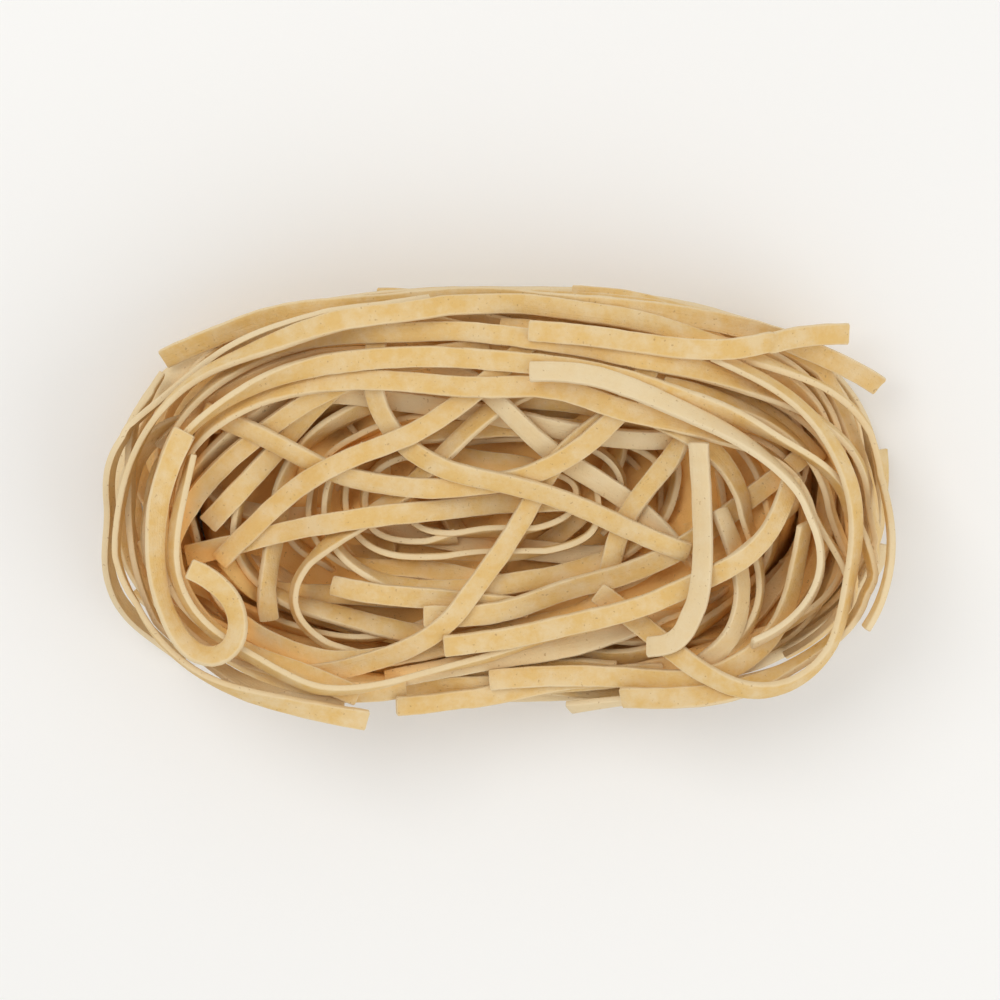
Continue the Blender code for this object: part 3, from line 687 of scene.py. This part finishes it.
def grainGroup():  # streaks along a noodle, mottling, floury patches, bran specks and fine relief
    tree = bpy.data.node_groups.new("pastaGrain", "ShaderNodeTree")
    for name, default in (("Along", 0.0), ("Across", 0.0), ("Tone", 0.5)):
        socket = tree.interface.new_socket(name, in_out="INPUT", socket_type="NodeSocketFloat")
        socket.default_value = default
    for name in ("Streaks", "Mottling", "Flour", "Bran", "Height"):
        tree.interface.new_socket(name, in_out="OUTPUT", socket_type="NodeSocketFloat")
    given = addNode(tree, "NodeGroupInput")
    out = addNode(tree, "NodeGroupOutput")
    coords = addNode(tree, "ShaderNodeTexCoord")
    link = tree.links.new

    def scaled(socket, factor):
        node = addNode(tree, "ShaderNodeMath", operation="MULTIPLY")
        link(socket, node.inputs[0])
        node.inputs[1].default_value = factor
        return node.outputs[0]

    def noise(where, kind):
        scale, detail, roughness = pastaGrain[kind]
        node = addNode(tree, "ShaderNodeTexNoise")
        node.inputs["Scale"].default_value = scale
        node.inputs["Detail"].default_value = detail
        node.inputs["Roughness"].default_value = roughness
        link(where, node.inputs["Vector"])
        return node.outputs["Fac"]

    def ranged(socket, kind):
        low, high = pastaGrain[kind]
        node = addNode(tree, "ShaderNodeMapRange")
        node.inputs["From Min"].default_value = low
        node.inputs["From Max"].default_value = high
        link(socket, node.inputs["Value"])
        return node.outputs[0]

    strand = addNode(tree, "ShaderNodeCombineXYZ")  # stretched along the noodle, new for each one
    for label, axis, scale in zip(("Along", "Across", "Tone"), "XYZ", pastaGrain["strandScale"]):
        link(scaled(given.outputs[label], scale), strand.inputs[axis])
    streaks = noise(strand.outputs[0], "streaks")
    mottling = noise(coords.outputs["Object"], "mottling")
    flour = noise(coords.outputs["Object"], "flour")
    grain = noise(coords.outputs["Object"], "grain")
    specks = noise(coords.outputs["Object"], "specks")

    relief = addNode(tree, "ShaderNodeMath", operation="MULTIPLY_ADD")
    link(grain, relief.inputs[0])
    relief.inputs[1].default_value = pastaGrain["grainHeight"]
    link(scaled(streaks, pastaGrain["streakHeight"]), relief.inputs[2])
    link(ranged(streaks, "streakRange"), out.inputs["Streaks"])
    link(ranged(mottling, "mottlingRange"), out.inputs["Mottling"])
    link(ranged(flour, "flourRange"), out.inputs["Flour"])
    link(ranged(specks, "branRange"), out.inputs["Bran"])
    link(relief.outputs[0], out.inputs["Height"])
    return tree


# Colours, how much of each shows, and the surface
pastaLook = {
    "straw": (0.76, 0.545, 0.235),
    "golden": (0.72, 0.455, 0.145),
    "flour": (0.80, 0.66, 0.43),
    # painted shade: the warm colour of the dim gaps inside the nest
    "paintedShadeColour": (0.96, 0.56, 0.17),
    "bran": (0.36, 0.19, 0.07),
    "toneChange": 0.6,
    "mottling": 0.75,
    "streaking": 0.35,
    "dusting": 0.55,
    "paleNoodles": 0.75,
    "paleEdges": 0.65,
    "paleEnds": 0.6,
    # how far the colour turns to the painted shade at full depth
    "paintedShadeShare": 0.8,
    "branShare": 0.5,
    "edgeStart": 0.8,
    "paleTone": 0.35,
    "roughness": (0.54, 0.78),
    "bump": 1.0,
    "bumpDistance": 0.2,
    "specular": 0.35,
}


def pastaMaterial(name, grain, look):
    material = bpy.data.materials.new(name)
    material.use_nodes = True
    tree = material.node_tree
    link = tree.links.new
    shader = tree.nodes["Principled BSDF"]
    group = addNode(tree, "ShaderNodeGroup", node_tree=grain)
    meshValues = {}
    for label in ("along", "across", "tone", "cut", "paintedShade"):
        attribute = addNode(tree, "ShaderNodeAttribute", attribute_name=label)
        meshValues[label] = attribute.outputs["Fac"]
    for label, socket in (("along", "Along"), ("across", "Across"), ("tone", "Tone")):
        link(meshValues[label], group.inputs[socket])

    def share(socket, most, low=0.0, high=1.0):
        node = addNode(tree, "ShaderNodeMapRange")
        node.inputs["From Min"].default_value = low
        node.inputs["From Max"].default_value = high
        node.inputs["To Max"].default_value = most
        link(socket, node.inputs["Value"])
        return node.outputs[0]

    def mixed(factor, below, above):
        node = addNode(tree, "ShaderNodeMix", data_type="RGBA")
        link(factor, node.inputs["Factor"])
        if isinstance(below, tuple):
            node.inputs[6].default_value = (*below, 1)
        else:
            link(below, node.inputs[6])
        node.inputs[7].default_value = (*above, 1)
        return node.outputs[2]

    side = addNode(tree, "ShaderNodeMath", operation="ABSOLUTE")
    link(meshValues["across"], side.inputs[0])
    colour = mixed(share(meshValues["tone"], look["toneChange"]), look["straw"], look["golden"])
    colour = mixed(share(group.outputs["Mottling"], look["mottling"]), colour, look["golden"])
    colour = mixed(share(group.outputs["Streaks"], look["streaking"]), colour, look["golden"])
    colour = mixed(share(group.outputs["Flour"], look["dusting"]), colour, look["flour"])
    colour = mixed(share(meshValues["tone"], look["paleNoodles"], look["paleTone"], 0.0), colour, look["flour"])
    colour = mixed(share(side.outputs[0], look["paleEdges"], look["edgeStart"], 1.0), colour, look["flour"])
    colour = mixed(share(meshValues["cut"], look["paleEnds"]), colour, look["flour"])
    # Painted shade: the deeper a point lies in the pile, the more amber its colour
    colour = mixed(share(meshValues["paintedShade"], look["paintedShadeShare"]), colour, look["paintedShadeColour"])
    colour = mixed(share(group.outputs["Bran"], look["branShare"]), colour, look["bran"])
    link(colour, shader.inputs["Base Color"])

    rough = addNode(tree, "ShaderNodeMapRange")
    link(group.outputs["Flour"], rough.inputs["Value"])
    rough.inputs["To Min"].default_value = look["roughness"][0]
    rough.inputs["To Max"].default_value = look["roughness"][1]
    link(rough.outputs[0], shader.inputs["Roughness"])
    bump = addNode(tree, "ShaderNodeBump")
    bump.inputs["Strength"].default_value = look["bump"]
    bump.inputs["Distance"].default_value = look["bumpDistance"] * mm
    link(group.outputs["Height"], bump.inputs["Height"])
    link(bump.outputs[0], shader.inputs["Normal"])
    shader.inputs["Specular IOR Level"].default_value = look["specular"]
    return material


def plainMaterial(name, colour, roughness):
    material = bpy.data.materials.new(name)
    material.use_nodes = True
    shader = material.node_tree.nodes["Principled BSDF"]
    shader.inputs["Base Color"].default_value = (*colour, 1)
    shader.inputs["Roughness"].default_value = roughness
    return material


# The stage, in metres

floorLook = {
    "size": 6,
    "colour": (0.90, 0.90, 0.89),
    "roughness": 0.7,
}


def makeFloor():
    bpy.ops.object.select_all(action="DESELECT")
    bpy.ops.mesh.primitive_plane_add(size=floorLook["size"], location=(0, 0, 0))
    floor = bpy.context.view_layer.objects.active
    floor.name = "floor"
    finish = plainMaterial("paleFloor", floorLook["colour"], floorLook["roughness"])
    floor.data.materials.append(finish)


# Place, size, watts and colour of each lamp, and the room's colour and strength
lights = {
    "key": ((-0.30, 0.32, 0.75), 0.45, 1.75, (1.0, 0.99, 0.97)),
    "fill": ((0.55, -0.30, 0.55), 0.80, 1.5, (1.0, 0.99, 0.97)),
    "room": ((1.0, 0.99, 0.975), 0.74),
}


def areaLight(name, spot, size, power, colour):  # a soft round light aimed at the nest
    data = bpy.data.lights.new(name, "AREA")
    data.shape = "DISK"
    data.size = size
    data.energy = power
    data.color = colour
    light = bpy.data.objects.new(name, data)
    light.location = spot
    light.rotation_euler = (-Vector(spot)).to_track_quat("-Z", "Y").to_euler()
    bpy.context.scene.collection.objects.link(light)


def makeLights():
    areaLight("keyLight", *lights["key"])
    areaLight("fillLight", *lights["fill"])
    colour, strength = lights["room"]
    world = bpy.data.worlds.new("softRoom")
    world.use_nodes = True
    background = world.node_tree.nodes["Background"]
    background.inputs["Color"].default_value = (*colour, 1)
    background.inputs["Strength"].default_value = strength
    bpy.context.scene.world = world


# Looks down on the nest, leaning a few degrees from +Y
camera = {
    "distance": 0.60,
    "lean": 7.0,
    "lens": 117.0,
    "sensor": 36.0,
    "near": 0.01,
    "far": 20.0,
    "aim": (0.0, 0.0, 0.020),
}


def makeCamera():
    data = bpy.data.cameras.new("photoCamera")
    data.lens = camera["lens"]
    data.sensor_width = camera["sensor"]
    data.clip_start = camera["near"]
    data.clip_end = camera["far"]
    piece = bpy.data.objects.new("photoCamera", data)
    bpy.context.scene.collection.objects.link(piece)
    lean = math.radians(camera["lean"])
    aim = Vector(camera["aim"])
    back = Vector((0, math.sin(lean), math.cos(lean)))
    piece.location = aim + back * camera["distance"]
    piece.rotation_euler = (-lean, 0, 0)
    bpy.context.scene.camera = piece


makeCamera()
laid, pile = layNest()
metres = sum(len(line) for line, _ in laid) * winding["step"] * mm
print("laid", len(laid), "noodles,", round(metres, 1), "m")
grain = grainGroup()
pasta = pastaMaterial("dryPasta", grain, pastaLook)
print("finish made")
shown = makeNoodles(laid, pile)
shown.append(makeHeart(pile))
print("heart made")
for piece in shown:
    piece.data.materials.clear()
    piece.data.materials.append(pasta)
    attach(piece, "root")
    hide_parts("pasta_nest")
makeFloor()
makeLights()
bpy.context.scene.view_settings.view_transform = "Standard"
print("floor and lights set")
